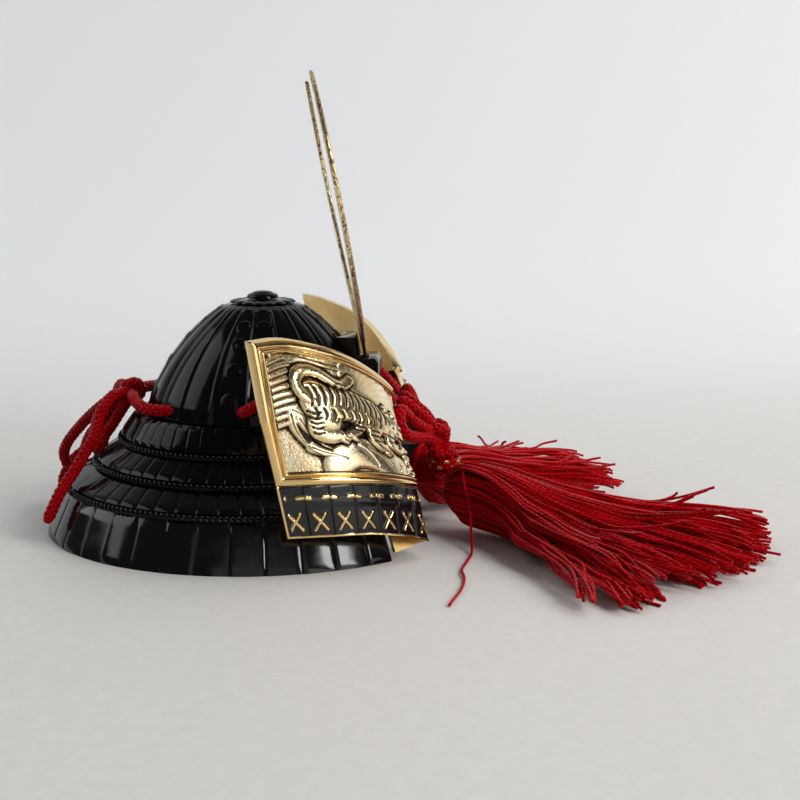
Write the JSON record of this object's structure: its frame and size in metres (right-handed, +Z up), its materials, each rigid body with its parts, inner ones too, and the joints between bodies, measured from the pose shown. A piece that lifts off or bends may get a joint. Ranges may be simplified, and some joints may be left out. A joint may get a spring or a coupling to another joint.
{
  "type": "kabuto samurai helmet",
  "caption": "Small display kabuto: gloss black ribbed bowl and neck guard, gilt turn-back plates with a tiger in relief, gilt horns, red cord and tassels.",
  "frame": {"origin": "on the table, under the middle of the helmet's hard pieces", "axes": "+Z up to the crown and the horns, -Y to the front, where the crest and the tassels are, +X to the wearer's left"},
  "size_m": [0.1401, 0.1917, 0.1167],
  "materials": {
    "gloss_black": "gloss black lacquer on cast zinc",
    "gilt_metal": "polished gilt with dark patina in the recesses",
    "red_cord": "braided and twisted red rayon",
    "gold_thread": "metallic thread"
  },
  "bodies": {
    "root": {"bowl": "gloss_black", "crown_ring": "gloss_black", "crown_button": "gloss_black", "neck_lame_1": "gloss_black", "neck_lame_2": "gloss_black", "neck_lame_3": "gloss_black", "neck_lame_4": "gloss_black", "visor": "gloss_black", "turn_back_left": "gilt_metal", "turn_back_right": "gilt_metal", "crest_block": "gloss_black", "crest_horns": "gilt_metal", "side_cord_left": "red_cord", "side_cord_right": "red_cord", "rear_bow": "red_cord", "front_knot": "red_cord", "knot_band": "gold_thread", "tassel_left": "red_cord", "tassel_right": "red_cord"}
  },
  "joints": []
}
